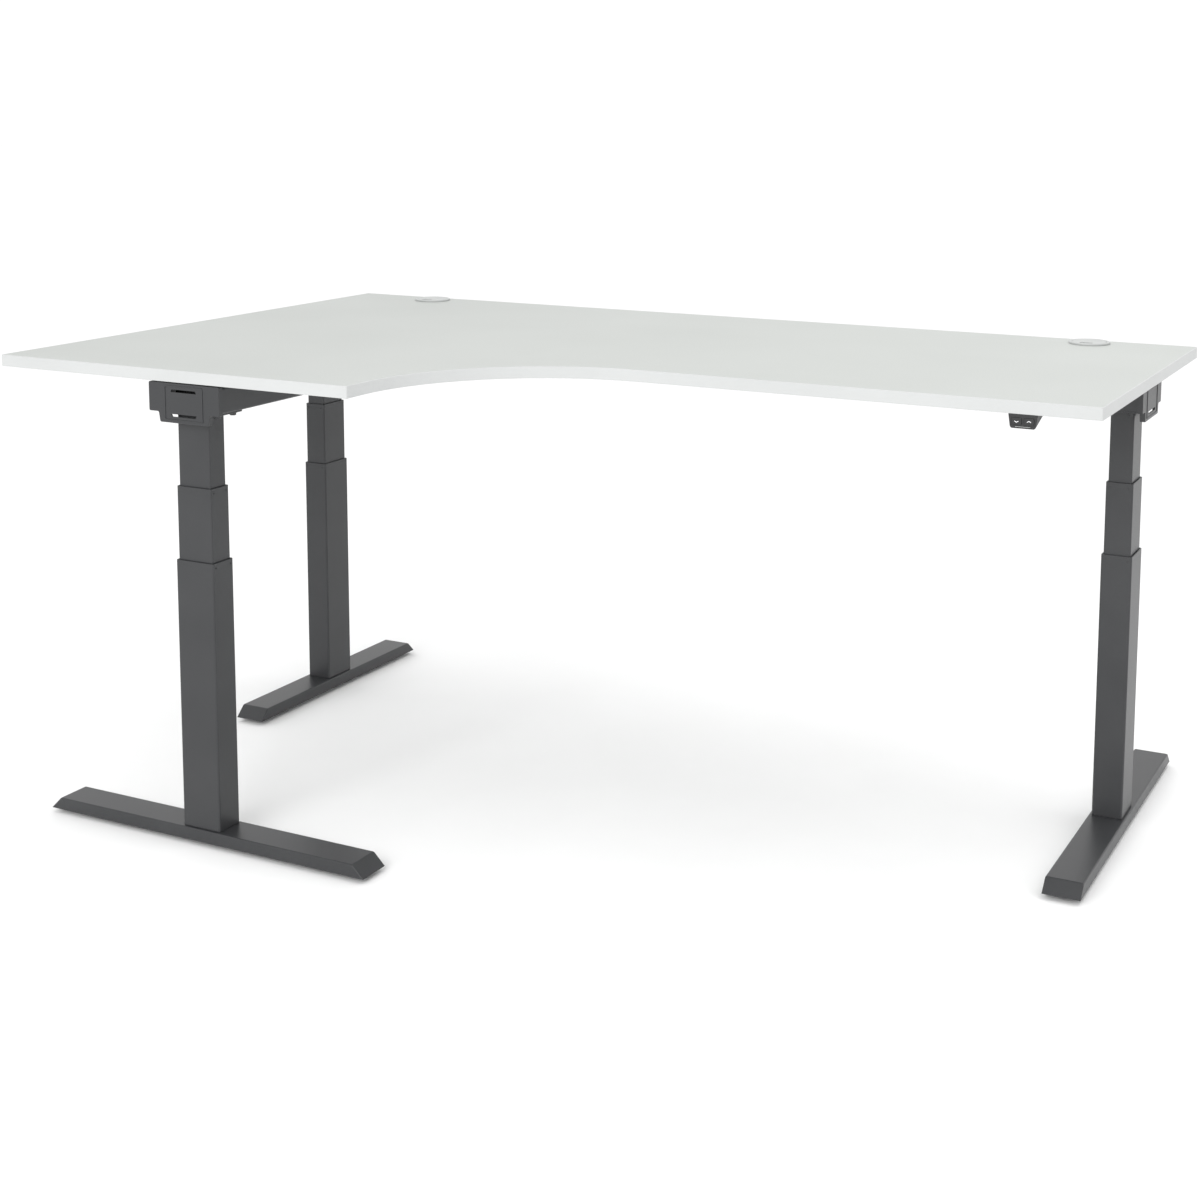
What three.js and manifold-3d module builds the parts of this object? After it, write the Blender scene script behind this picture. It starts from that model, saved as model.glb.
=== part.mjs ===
// An L-shaped, electrically height-adjustable desk: a worktop with a swept inner corner on a T-shaped
// steel frame, carried by three telescopic legs. Millimetres, +Z up.
// The origin is at floor level, in the middle of the desk's outline.
import * as THREE from "three";
import { mergeVertices } from "three/addons/utils/BufferGeometryUtils.js";
import Module from "manifold-3d";

const wasm = await Module();
wasm.setup();

// Driving dimensions

const deskHeight = 900; // top face of the worktop above the floor, as the desk stands here
const lowestHeight = 635; // the same with every leg fully lowered

const fitGap = 0.3; // clearance between fixed pieces that meet
const slideGap = 1.5; // clearance on each side between two telescoping tubes
const turnGap = 0.5; // radial clearance of a turning piece
const overCut = 1; // how far a cutter reaches past the surface that it opens
const weld = 1e-4; // corners closer than this are one corner

// How many flats a rounded edge or a round section is made of.
const flats = { corner: 2, sweep: 8, bar: 16, glide: 16, motor: 20, flange: 28, lid: 32 };

const worktop = {
  width: 2000,
  depth: 1200,
  wingWidth: 800, // width of the deep left part
  sideDepth: 800, // depth of the shallower right part
  thickness: 22,
  sweepRadius: 350, // concave corner between the two parts
  edging: 2, // plastic edge band all round
  cornerRadius: 3,
};

const grommet = {
  holeRadius: 36.5,
  flangeRadius: 41,
  flangeHeight: 4,
  flangeBevel: 1.5,
  sleeveWall: 2,
  sleeveDepth: 19,
  lidThickness: 3,
  slotWidth: 26,
  slotDepth: 16,
  slotRadius: 5,
  fromBack: 50,
  places: { left: 222, right: 1796 }, // distance from the left edge
};

const foot = {
  width: 69,
  height: 23.4,
  underside: 10, // height of its lower edge above the floor
  endSlope: 24, // how much shorter the top is at each end
  wall: 2.5,
};

const glide = {
  fromEnd: 48,
  baseRadius: 15,
  baseHeight: 6,
  baseBevel: 1.5,
  rimBevel: 1,
  shoulder: 3,
  studRadius: 4,
  studBevel: 1,
  studGrip: 11, // length of the stud inside the foot
  bossLength: 26,
};

const column = {
  long: 86, // outermost tube, along the foot
  short: 58,
  wall: 2,
  cornerRadius: 4,
  cornerStep: 0.5, // each smaller tube has a sharper corner
  boreRadius: 0.8, // least corner radius inside a tube
  shownLowered: 5.6, // what shows of each tube with the desk fully lowered
  footClearance: 20, // middle tube above the foot, fully lowered
  webClearance: 12, // inner tube above the middle tube's web, fully lowered
  web: 4,
  linerHeight: 45,
  linerDrop: 0.6, // liner's top edge below its tube's rim
};

const cap = {
  width: 161,
  height: 54,
  lowerWidth: 111,
  lowerTopWidth: 117,
  lowerHeight: 73,
  depth: 10,
  wall: 2.5,
  reach: 17, // its face in front of the outer tube's face
  boardGap: 2,
  panelWidth: 88,
  panelHeight: 64,
  panelRib: 3,
  panelRadius: 3,
  panelInnerRadius: 1,
  panelRelief: 1,
  slotLength: 58,
  slotHeight: 5,
  slotTaper: 2,
  slotInset: 4, // from the panel's rib
};

const beam = { wall: 2.5, lip: 15 };
const headPlate = { length: 140, width: 70, thickness: 4, boreRadius: 9, cornerRadius: 6 };
const jointPlate = { length: 150, overlap: 55, thickness: 4, cornerRadius: 5 };
const pad = { length: 40, width: 24, cornerRadius: 4, fromLeg: 150 };

const drive = {
  gearboxLength: 78,
  gearboxWidth: 52,
  gearboxHeight: 40,
  gearboxRadius: 5,
  motorRadius: 19,
  motorLength: 92,
  bossRadius: 9,
  bossLength: 6,
  spindleRadius: 6,
  spindleAboveEnd: 20, // spindle's end above the inner tube's lower end
  nutTubeWall: 3,
  nutTubeDrop: 60, // its top below the middle tube's top
};

const controlBox = {
  length: 260,
  width: 90,
  height: 32,
  cornerRadius: 5,
  x: 1300,
  gapToBeam: 42,
  inletWidth: 28,
  inletHeight: 20,
  inletDepth: 14,
  inletRadius: 2,
};

const handSwitch = {
  width: 50,
  height: 24,
  depth: 46,
  backHeight: 4,
  setBack: 1.2, // its face behind the worktop's edge
  fromRight: 132, // its middle from the worktop's right edge
  buttonWidth: 17,
  buttonHeight: 12,
  buttonDepth: 7,
  buttonProud: 1,
  buttonSpacing: 21,
  pocketDepth: 9,
  buttonRadius: 2.5,
};

// Columns, placed from the worktop's front-left corner. A leg's own frame has the foot along X and the
// end cap facing -Y, and turn is the quarter turns of that frame about Z.
const legs = {
  front: { x: 440, y: 48, turn: 0, footLength: 736 },
  left: { x: 90, y: 895, turn: -1, footLength: 602 },
  right: { x: 1931, y: 895, turn: 1, footLength: 766 },
};

// Heights and sizes that follow

const underside = deskHeight - worktop.thickness;
const capTop = underside - cap.boardGap;
const beamTop = capTop - cap.wall - fitGap;
const beamHeight = cap.height - 2 * (cap.wall + fitGap);
const beamWidth = cap.width - 2 * (cap.wall + fitGap);
const beamBottom = beamTop - beamHeight;
const headPlateTop = beamBottom - fitGap;
const innerTop = headPlateTop - headPlate.thickness - fitGap;

const extension = (deskHeight - lowestHeight) / 2; // of each of the two stages, as the desk stands
const stageShown = column.shownLowered + extension;
const midTop = innerTop - stageShown;
const outerTop = midTop - stageShown;
const footTop = foot.underside + foot.height;
const outerLength = outerTop - footTop - fitGap;
const midLength = outerLength + column.shownLowered - column.footClearance;
const innerLength = midLength + column.shownLowered - column.web - column.webClearance;

const tubeStep = 2 * (column.wall + slideGap);
const tubes = [0, 1, 2].map((n) => ({
  long: column.long - n * tubeStep,
  short: column.short - n * tubeStep,
  radius: column.cornerRadius - n * column.cornerStep,
}));

const capFace = column.short / 2 + cap.reach; // from the column's axis
const beamStart = capFace - cap.wall - fitGap;
const frontOfSide = worktop.depth - worktop.sideDepth; // front edge of the shallower part
const depthOverall = Math.max(worktop.depth, legs.left.y + legs.left.footLength / 2,
  legs.right.y + legs.right.footLength / 2);

// Finishes

const finish = (color, roughness, metalness = 0) =>
  new THREE.MeshStandardMaterial({ color, roughness, metalness });

const laminate = finish("#dcdfda", 0.55);
const edging = finish("#e4e6e1", 0.5);
const powderCoat = finish("#4a4c4e", 0.45, 0.3);
const darkPlastic = finish("#2b2c2e", 0.5);
const greyPlastic = finish("#bfc2c0", 0.5);
const rubber = finish("#1f1f20", 0.9);
const zincSteel = finish("#a9acad", 0.35, 0.9);
const linerPlastic = finish("#26272a", 0.45);
const glidePlastic = finish("#8f9294", 0.5);

// Geometry helpers

// A closed solid for joining and cutting, from any three.js geometry.
function solid(geometry) {
  const bare = geometry.clone();
  bare.deleteAttribute("normal");
  bare.deleteAttribute("uv");
  const merged = mergeVertices(bare, weld);
  return new wasm.Manifold(
    new wasm.Mesh({
      numProp: 3,
      vertProperties: merged.attributes.position.array,
      triVerts: new Uint32Array(merged.index.array),
    }),
  );
}

function geometryOf(made) {
  const mesh = made.getMesh();
  const geometry = new THREE.BufferGeometry();
  geometry.setAttribute("position", new THREE.BufferAttribute(mesh.vertProperties, 3));
  geometry.setIndex(new THREE.BufferAttribute(mesh.triVerts, 1));
  geometry.computeVertexNormals();
  return geometry;
}

function piece(name, geometry, material) {
  const mesh = new THREE.Mesh(geometry, material.clone());
  mesh.name = name;
  return mesh;
}

function roundedRectangle(width, height, radius) {
  const shape = new THREE.Shape();
  const x = width / 2 - radius;
  const y = height / 2 - radius;
  shape.absarc(x, -y, radius, -Math.PI / 2, 0);
  shape.absarc(x, y, radius, 0, Math.PI / 2);
  shape.absarc(-x, y, radius, Math.PI / 2, Math.PI);
  shape.absarc(-x, -y, radius, Math.PI, 1.5 * Math.PI);
  shape.closePath();
  return shape;
}

// A round bar's section, with its corners on the radius.
function circle(x, y, radius, sides = flats.bar) {
  const angles = Array.from({ length: sides }, (_, n) => (2 * Math.PI * n) / sides);
  return polygon(angles.map((a) => [x + radius * Math.cos(a), y + radius * Math.sin(a)]));
}

// A round hole, whose flats are on the radius, so that a bar of that radius clears it.
function roundHole(x, y, radius, sides = flats.bar) {
  return circle(x, y, radius / Math.cos(Math.PI / sides), sides);
}

// Upright prism on the level z.
function upright(shape, height, z, curveSegments = flats.corner) {
  const geometry = new THREE.ExtrudeGeometry(shape, { depth: height, bevelEnabled: false, curveSegments });
  return geometry.translate(0, 0, z);
}

// A profile drawn in X (across) and Z (up), run along Y from yFrom to yTo.
function alongY(profile, yFrom, yTo) {
  const depth = yTo - yFrom;
  const settings = { depth, bevelEnabled: false, curveSegments: flats.corner };
  const geometry = new THREE.ExtrudeGeometry(profile, settings);
  return geometry.rotateX(Math.PI / 2).translate(0, yTo, 0);
}

// A profile drawn in Y (across) and Z (up), run along X from xFrom to xTo.
function alongX(profile, xFrom, xTo) {
  const depth = xTo - xFrom;
  const settings = { depth, bevelEnabled: false, curveSegments: flats.corner };
  const geometry = new THREE.ExtrudeGeometry(profile, settings);
  return geometry.rotateX(Math.PI / 2).rotateZ(Math.PI / 2).translate(xFrom, 0, 0);
}

function polygon(points) {
  return new THREE.Shape(points.map(([x, y]) => new THREE.Vector2(x, y)));
}

// Turned about a vertical axis; points are [radius, z], from the lower end up, outside on the right.
function turned(points, segments) {
  return new THREE.LatheGeometry(points.map(([r, z]) => new THREE.Vector2(r, z)), segments)
    .rotateX(Math.PI / 2);
}

function tubeSection(long, short, radius, wall) {
  const section = roundedRectangle(long, short, radius);
  const boreRadius = Math.max(radius - wall, column.boreRadius);
  section.holes.push(roundedRectangle(long - 2 * wall, short - 2 * wall, boreRadius));
  return section;
}

// Worktop

// The L-shaped outline, moved inwards by inset.
function worktopOutline(inset) {
  const w = worktop;
  const r = w.cornerRadius;
  const left = inset + r;
  const right = w.width - inset - r;
  const back = w.depth - inset - r;
  const sweepX = w.wingWidth + w.sweepRadius;
  const sweepY = frontOfSide - w.sweepRadius;
  const shape = new THREE.Shape();
  shape.absarc(left, left, r, Math.PI, 1.5 * Math.PI);
  shape.absarc(w.wingWidth - inset - r, left, r, -Math.PI / 2, 0);
  shape.absarc(sweepX, sweepY, w.sweepRadius + inset, Math.PI, Math.PI / 2, true);
  shape.absarc(right, frontOfSide + inset + r, r, -Math.PI / 2, 0);
  shape.absarc(right, back, r, 0, Math.PI / 2);
  shape.absarc(left, back, r, Math.PI / 2, Math.PI);
  shape.closePath();
  return shape;
}

function makeWorktop() {
  const board = worktopOutline(worktop.edging + fitGap);
  const bandSection = worktopOutline(0);
  bandSection.holes.push(worktopOutline(worktop.edging));
  const y = worktop.depth - grommet.fromBack;
  for (const x of Object.values(grommet.places)) {
    board.holes.push(roundHole(x, y, grommet.holeRadius, flats.lid));
  }
  return [
    piece("worktop_board", upright(board, worktop.thickness, underside, flats.sweep), laminate),
    piece("edge_band", upright(bandSection, worktop.thickness, underside, flats.sweep), edging),
  ];
}

// Flanged sleeve in the worktop, and the slotted lid that turns in it.
function makeGrommet(side) {
  const sleeveRadius = grommet.holeRadius - fitGap;
  const boreRadius = sleeveRadius - grommet.sleeveWall;
  const seatRadius = boreRadius - grommet.sleeveWall;
  const flangeBase = deskHeight + fitGap;
  const flangeTop = flangeBase + grommet.flangeHeight;
  const lidTop = flangeTop - fitGap;
  const lidBase = lidTop - grommet.lidThickness;
  const seat = lidBase - fitGap;
  const ring = turned([
    [seatRadius, deskHeight - grommet.sleeveDepth],
    [sleeveRadius, deskHeight - grommet.sleeveDepth],
    [sleeveRadius, flangeBase],
    [grommet.flangeRadius, flangeBase],
    [grommet.flangeRadius - grommet.flangeBevel, flangeTop],
    [boreRadius, flangeTop],
    [boreRadius, seat],
    [seatRadius, seat],
    [seatRadius, deskHeight - grommet.sleeveDepth],
  ], flats.flange);
  const lidRadius = boreRadius - turnGap;
  const disc = solid(upright(circle(0, 0, lidRadius, flats.lid), grommet.lidThickness, lidBase));
  const slotShape = roundedRectangle(grommet.slotWidth, 2 * grommet.slotDepth, grommet.slotRadius);
  const slot = solid(upright(slotShape, 3 * grommet.lidThickness, lidBase - grommet.lidThickness))
    .translate(0, -lidRadius, 0);
  const group = new THREE.Group();
  group.position.set(grommet.places[side], worktop.depth - grommet.fromBack, 0);
  group.add(
    piece("grommet_ring_" + side, ring, greyPlastic),
    piece("grommet_lid_" + side, geometryOf(disc.subtract(slot)), greyPlastic),
  );
  return group;
}

// Frame under the worktop

// Inverted channel with inward lips; top at z 0.
function channelSection() {
  const outer = beamWidth / 2;
  const inner = outer - beam.wall;
  const lip = outer - beam.wall - beam.lip;
  const low = -beamHeight;
  return polygon([
    [outer, 0], [-outer, 0], [-outer, low], [-lip, low], [-lip, low + beam.wall],
    [-inner, low + beam.wall], [-inner, -beam.wall], [inner, -beam.wall],
    [inner, low + beam.wall], [lip, low + beam.wall], [lip, low], [outer, low],
  ]);
}

function makeFrame() {
  const mainY = legs.left.y;
  const sideX = legs.front.x;
  const sideEnd = mainY - beamWidth / 2 - fitGap;
  const mainFrom = legs.left.x - beamStart;
  const mainTo = legs.right.x + beamStart;
  const main = alongX(channelSection(), mainFrom, mainTo).translate(0, mainY, beamTop);
  const side = alongY(channelSection(), legs.front.y - beamStart, sideEnd).translate(sideX, 0, beamTop);
  const plateShape = roundedRectangle(jointPlate.length, 2 * jointPlate.overlap, jointPlate.cornerRadius);
  const plate = upright(plateShape, jointPlate.thickness, headPlateTop - jointPlate.thickness)
    .translate(sideX, sideEnd, 0);
  const made = [
    piece("main_beam", main, powderCoat),
    piece("side_beam", side, powderCoat),
    piece("joint_plate", plate, powderCoat),
  ];
  const middle = (legs.left.x + legs.right.x) / 2;
  const padPlaces = {
    front: [sideX, legs.front.y + pad.fromLeg],
    corner: [sideX, mainY],
    middle: [middle, mainY],
    right: [legs.right.x - pad.fromLeg, mainY],
  };
  const padHeight = underside - beamTop - 2 * fitGap;
  for (const [name, [x, y]] of Object.entries(padPlaces)) {
    const shape = roundedRectangle(pad.length, pad.width, pad.cornerRadius);
    const block = upright(shape, padHeight, beamTop + fitGap);
    made.push(piece("beam_pad_" + name, block.translate(x, y, 0), rubber));
  }
  return made;
}

// Legs

// End cap outline in X and Z from the cap's top middle: a wide upper part and a narrower lower part.
function capOutline(inset) {
  const wide = cap.width / 2 - inset;
  const upper = cap.lowerTopWidth / 2 - inset;
  const lower = cap.lowerWidth / 2 - inset;
  const step = inset - cap.height;
  const bottom = inset - cap.lowerHeight;
  return polygon([
    [wide, -inset], [-wide, -inset], [-wide, step], [-upper, step],
    [-lower, bottom], [lower, bottom], [upper, step], [wide, step],
  ]);
}

function capSlot(z, taper) {
  const half = cap.slotLength / 2;
  const high = cap.slotHeight / 2;
  return polygon([[half - taper, z + high], [-half + taper, z + high], [-half, z - high], [half, z - high]]);
}

function makeEndCap(name) {
  const back = cap.depth - capFace;
  const shell = solid(alongY(capOutline(0), -capFace, back));
  const hollow = solid(alongY(capOutline(cap.wall), cap.wall - capFace, back + overCut));
  const rib = roundedRectangle(cap.panelWidth, cap.panelHeight, cap.panelRadius);
  const insideWidth = cap.panelWidth - 2 * cap.panelRib;
  const insideHeight = cap.panelHeight - 2 * cap.panelRib;
  rib.holes.push(roundedRectangle(insideWidth, insideHeight, cap.panelInnerRadius));
  const middle = -cap.lowerHeight / 2;
  const ribFrom = -capFace - cap.panelRelief;
  const panel = solid(alongY(rib, ribFrom, cap.wall / 2 - capFace)).translate(0, 0, middle);
  let made = shell.subtract(hollow).add(panel);
  const slotOffset = cap.panelHeight / 2 - cap.panelRib - cap.slotInset - cap.slotHeight / 2;
  for (const [offset, taper] of [[slotOffset, cap.slotTaper], [-slotOffset, -cap.slotTaper]]) {
    const slot = alongY(capSlot(middle + offset, taper), ribFrom - overCut, back);
    made = made.subtract(solid(slot));
  }
  return piece("end_cap_" + name, geometryOf(made.translate(0, 0, capTop)), powderCoat);
}

function makeTube(label, name, tube, top, length) {
  const section = tubeSection(tube.long, tube.short, tube.radius, column.wall);
  return piece(label + name, upright(section, length, top - length), powderCoat);
}

// The middle tube has a web at its lower end that carries the nut tube.
function makeMidTube(name) {
  const tube = tubes[1];
  const low = midTop - midLength;
  const section = tubeSection(tube.long, tube.short, tube.radius, column.wall);
  const web = roundedRectangle(tube.long - column.wall, tube.short - column.wall, tube.radius);
  web.holes.push(roundHole(0, 0, drive.spindleRadius + 2 * turnGap));
  const made = solid(upright(section, midLength, low)).add(solid(upright(web, column.web, low)));
  return piece("mid_tube_" + name, geometryOf(made), powderCoat);
}

// Thin plastic sleeve between a tube's bore and the next smaller tube.
function makeLiner(label, name, outside, inside, tubeTop) {
  const section = roundedRectangle(
    outside.long - 2 * (column.wall + fitGap),
    outside.short - 2 * (column.wall + fitGap),
    outside.radius - column.wall - fitGap,
  );
  section.holes.push(
    roundedRectangle(inside.long + 2 * fitGap, inside.short + 2 * fitGap, inside.radius + fitGap),
  );
  const base = tubeTop - column.linerDrop - column.linerHeight;
  return piece(label + name, upright(section, column.linerHeight, base), linerPlastic);
}

function footProfile(length, inset) {
  const half = length / 2 - inset;
  const top = half - foot.endSlope;
  const low = foot.underside - (inset > 0 ? overCut : 0);
  return polygon([[-half, low], [half, low], [top, footTop - inset], [-top, footTop - inset]]);
}

// Folded steel channel with sloping ends, open below, with a boss for each levelling glide.
function makeFoot(name, length) {
  const half = foot.width / 2;
  const shell = solid(alongY(footProfile(length, 0), -half, half));
  const hollow = solid(alongY(footProfile(length, foot.wall), foot.wall - half, half - foot.wall));
  let made = shell.subtract(hollow);
  for (const side of [-1, 1]) {
    const x = side * (length / 2 - glide.fromEnd);
    const blockWidth = foot.width - foot.wall;
    const blockHeight = foot.height - foot.wall / 2;
    const block = solid(new THREE.BoxGeometry(glide.bossLength, blockWidth, blockHeight))
      .translate(0, 0, foot.underside + blockHeight / 2);
    const holeRadius = glide.studRadius + turnGap;
    const holeDepth = glide.studGrip + 2 * overCut;
    const hole = solid(upright(roundHole(0, 0, holeRadius), holeDepth, foot.underside - overCut));
    made = made.add(block.translate(x, 0, 0)).subtract(hole.translate(x, 0, 0));
  }
  return piece("foot_" + name, geometryOf(made), powderCoat);
}

function makeGlide(name, x) {
  const studTop = foot.underside + glide.studGrip;
  const shape = turned([
    [0, 0],
    [glide.baseRadius - glide.baseBevel, 0],
    [glide.baseRadius, glide.baseBevel],
    [glide.baseRadius, glide.baseHeight - glide.rimBevel],
    [glide.baseRadius - glide.shoulder, glide.baseHeight],
    [glide.studRadius, glide.baseHeight],
    [glide.studRadius, studTop - glide.studBevel],
    [glide.studRadius - glide.studBevel, studTop],
    [0, studTop],
  ], flats.glide);
  return piece("glide_" + name, shape.translate(x, 0, 0), glidePlastic);
}

function makeDrive(name) {
  const base = headPlateTop + fitGap;
  const plate = roundedRectangle(headPlate.length, headPlate.width, headPlate.cornerRadius);
  plate.holes.push(roundHole(0, 0, headPlate.boreRadius));
  const headPlateMesh = upright(plate, headPlate.thickness, headPlateTop - headPlate.thickness);
  const gearboxShape = roundedRectangle(drive.gearboxLength, drive.gearboxWidth, drive.gearboxRadius);
  const gearbox = upright(gearboxShape, drive.gearboxHeight, base);
  const motorZ = base + drive.gearboxHeight / 2;
  const motorFrom = drive.gearboxWidth / 2 + fitGap;
  const motor = new THREE.LatheGeometry([
    [0, motorFrom],
    [drive.motorRadius, motorFrom],
    [drive.motorRadius, motorFrom + drive.motorLength],
    [drive.bossRadius, motorFrom + drive.motorLength],
    [drive.bossRadius, motorFrom + drive.motorLength + drive.bossLength],
    [0, motorFrom + drive.motorLength + drive.bossLength],
  ].map(([r, y]) => new THREE.Vector2(r, y)), flats.motor).translate(0, 0, motorZ);
  const spindleTop = base - fitGap;
  const spindleEnd = innerTop - innerLength + drive.spindleAboveEnd;
  const spindleShape = circle(0, 0, drive.spindleRadius);
  const spindle = upright(spindleShape, spindleTop - spindleEnd, spindleEnd);
  const nutBase = midTop - midLength + column.web + fitGap;
  const nutTop = midTop - drive.nutTubeDrop;
  const nutSection = circle(0, 0, drive.spindleRadius + turnGap + drive.nutTubeWall);
  nutSection.holes.push(roundHole(0, 0, drive.spindleRadius + turnGap));
  const nutTube = upright(nutSection, nutTop - nutBase, nutBase);
  return [
    piece("head_plate_" + name, headPlateMesh, powderCoat),
    piece("gearbox_" + name, gearbox, darkPlastic),
    piece("motor_" + name, motor, zincSteel),
    piece("spindle_" + name, spindle, zincSteel),
    piece("nut_tube_" + name, nutTube, zincSteel),
  ];
}

function makeLeg(name) {
  const leg = legs[name];
  const group = new THREE.Group();
  group.position.set(leg.x, leg.y, 0);
  group.rotation.z = (leg.turn * Math.PI) / 2;
  const glideX = leg.footLength / 2 - glide.fromEnd;
  group.add(
    makeEndCap(name),
    ...makeDrive(name),
    makeTube("inner_tube_", name, tubes[2], innerTop, innerLength),
    makeMidTube(name),
    makeTube("outer_tube_", name, tubes[0], outerTop, outerLength),
    makeLiner("mid_liner_", name, tubes[1], tubes[2], midTop),
    makeLiner("outer_liner_", name, tubes[0], tubes[1], outerTop),
    makeFoot(name, leg.footLength),
    makeGlide(name + "_a", -glideX),
    makeGlide(name + "_b", glideX),
  );
  return group;
}

// Controls

function makeControlBox() {
  const box = controlBox;
  const shape = roundedRectangle(box.length, box.width, box.cornerRadius);
  const y = legs.left.y - beamWidth / 2 - box.gapToBeam - box.width / 2;
  const top = underside - fitGap;
  const body = solid(upright(shape, box.height, top - box.height));
  const inletShape = roundedRectangle(box.inletWidth, box.inletHeight, box.inletRadius);
  const face = -box.length / 2;
  const inlet = solid(alongX(inletShape, face - overCut, face + box.inletDepth))
    .translate(0, 0, top - box.height / 2);
  return piece("control_box", geometryOf(body.subtract(inlet).translate(box.x, y, 0)), darkPlastic);
}

// Wedge under the front edge of the shallower part, with a down and an up button in its face.
function makeHandSwitch() {
  const hs = handSwitch;
  const group = new THREE.Group();
  group.position.set(worktop.width - hs.fromRight, frontOfSide + hs.setBack, underside - fitGap);
  const wedge = polygon([[0, 0], [0, -hs.height], [hs.depth, -hs.backHeight], [hs.depth, 0]]);
  let housing = solid(alongX(wedge, -hs.width / 2, hs.width / 2));
  const pocketWidth = hs.buttonWidth + 2 * fitGap;
  const pocketHeight = hs.buttonHeight + 2 * fitGap;
  const middle = -hs.height / 2;
  const buttons = [];
  for (const [name, side] of [["button_down", -1], ["button_up", 1]]) {
    const x = (side * hs.buttonSpacing) / 2;
    const pocketShape = roundedRectangle(pocketWidth, pocketHeight, hs.buttonRadius + fitGap);
    const pocket = alongY(pocketShape, -overCut, hs.pocketDepth).translate(x, 0, middle);
    housing = housing.subtract(solid(pocket));
    const buttonShape = roundedRectangle(hs.buttonWidth, hs.buttonHeight, hs.buttonRadius);
    const button = alongY(buttonShape, -hs.buttonProud, hs.buttonDepth - hs.buttonProud);
    buttons.push(piece(name, button.translate(x, 0, middle), darkPlastic));
  }
  group.add(piece("switch_housing", geometryOf(housing), darkPlastic), ...buttons);
  return group;
}

// The desk

const fromCorner = new THREE.Group();
fromCorner.position.set(-worktop.width / 2, -depthOverall / 2, 0);
fromCorner.add(
  ...makeWorktop(),
  ...Object.keys(grommet.places).map(makeGrommet),
  ...makeFrame(),
  ...Object.keys(legs).map(makeLeg),
  makeControlBox(),
  makeHandSwitch(),
);

const desk = new THREE.Group();
desk.add(fromCorner);

export default desk;
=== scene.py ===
import math

import bmesh
import bpy
from mathutils import Matrix, Vector


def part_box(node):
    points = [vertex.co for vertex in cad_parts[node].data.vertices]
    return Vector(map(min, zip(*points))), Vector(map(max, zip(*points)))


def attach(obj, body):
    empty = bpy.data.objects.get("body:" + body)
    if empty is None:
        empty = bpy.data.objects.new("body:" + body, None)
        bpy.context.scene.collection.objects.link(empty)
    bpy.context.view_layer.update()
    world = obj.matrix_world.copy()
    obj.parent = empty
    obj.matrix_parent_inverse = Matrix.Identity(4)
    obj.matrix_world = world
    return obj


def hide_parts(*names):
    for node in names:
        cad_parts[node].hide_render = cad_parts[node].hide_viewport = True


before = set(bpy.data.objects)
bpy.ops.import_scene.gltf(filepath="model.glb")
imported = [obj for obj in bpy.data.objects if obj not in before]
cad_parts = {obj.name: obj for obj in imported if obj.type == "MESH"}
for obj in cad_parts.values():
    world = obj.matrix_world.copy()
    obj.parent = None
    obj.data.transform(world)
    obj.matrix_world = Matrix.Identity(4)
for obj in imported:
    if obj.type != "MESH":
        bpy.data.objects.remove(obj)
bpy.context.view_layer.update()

print("frame loaded:", len(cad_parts), "CAD nodes")

overCut = 0.002  # how far a cutter reaches past the surface that it opens
sameLevel = 1e-5  # points closer than this along an axis are on one level
weld = 1e-7  # points closer than this are one point
cutWeld = 1e-6  # the same after a cut
sharpFrom = math.radians(32)  # edges from this angle up stay sharp
rimAngle = 1.0  # edges that bend by more than this, in radians, are rims
alongShare = 0.999  # share of an edge's length that has to lie along an axis
arcMiddle = 0.3  # a rounding's middle point, in from the corner, against the radius

# quarter turns about Z of a leg whose foot lies along X and whose end cap faces -Y
legTurns = {"front": 0, "left": -1, "right": 1}


# a box between two corners
def addBlock(bm, low, high):
    verts = bmesh.ops.create_cube(bm, size=1)["verts"]
    size = [b - a for a, b in zip(low, high)]
    bmesh.ops.scale(bm, vec=size, verts=verts)
    bmesh.ops.translate(bm, vec=[(a + b) / 2 for a, b in zip(low, high)], verts=verts)
    return verts


def linkedEdges(verts):
    return list({edge for vert in verts for edge in vert.link_edges})


def runsAlong(edge, axis):
    run = edge.verts[1].co - edge.verts[0].co
    return run.length > 0 and abs(run[axis]) > alongShare * run.length


def roundEdges(bm, edges, radius, segments=3):
    bmesh.ops.bevel(
        bm, geom=list(edges), offset=radius, offset_type="OFFSET", affect="EDGES",
        segments=segments, profile=0.5, material=-1, clamp_overlap=True,
    )


def edgesAt(bm, axis, place):
    return [
        edge for edge in bm.edges
        if all(abs(vert.co[axis] - place) < sameLevel for vert in edge.verts)
    ]


# the edges on a level where the faces turn away from it
def rimEdges(bm, axis, place):
    bm.normal_update()
    return [edge for edge in edgesAt(bm, axis, place) if edge.calc_face_angle(0) > rimAngle]


def facesAt(bm, axis, place):
    return [
        face for face in bm.faces
        if all(abs(vert.co[axis] - place) < sameLevel for vert in face.verts)
    ]


# an outline of (x, y) points, extruded upwards from one level to another
def addPrism(bm, outline, bottom, top):
    verts = [bm.verts.new((x, y, bottom)) for x, y in outline]
    face = bm.faces.new(verts)
    made = bmesh.ops.extrude_face_region(bm, geom=[face])["geom"]
    raised = [item for item in made if isinstance(item, bmesh.types.BMVert)]
    bmesh.ops.translate(bm, vec=(0, 0, top - bottom), verts=raised)
    return verts + raised


# opens a solid's two end faces across an axis and joins them by an inner wall
def boreThrough(bm, axis, places, wall):
    ends = [face for place in places for face in facesAt(bm, axis, place)]
    for face in ends:
        bmesh.ops.inset_region(bm, faces=[face], thickness=wall, use_even_offset=True)
    rims = [edge for face in ends for edge in face.edges]
    bmesh.ops.delete(bm, geom=ends, context="FACES_ONLY")
    bmesh.ops.bridge_loops(bm, edges=rims)


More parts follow.
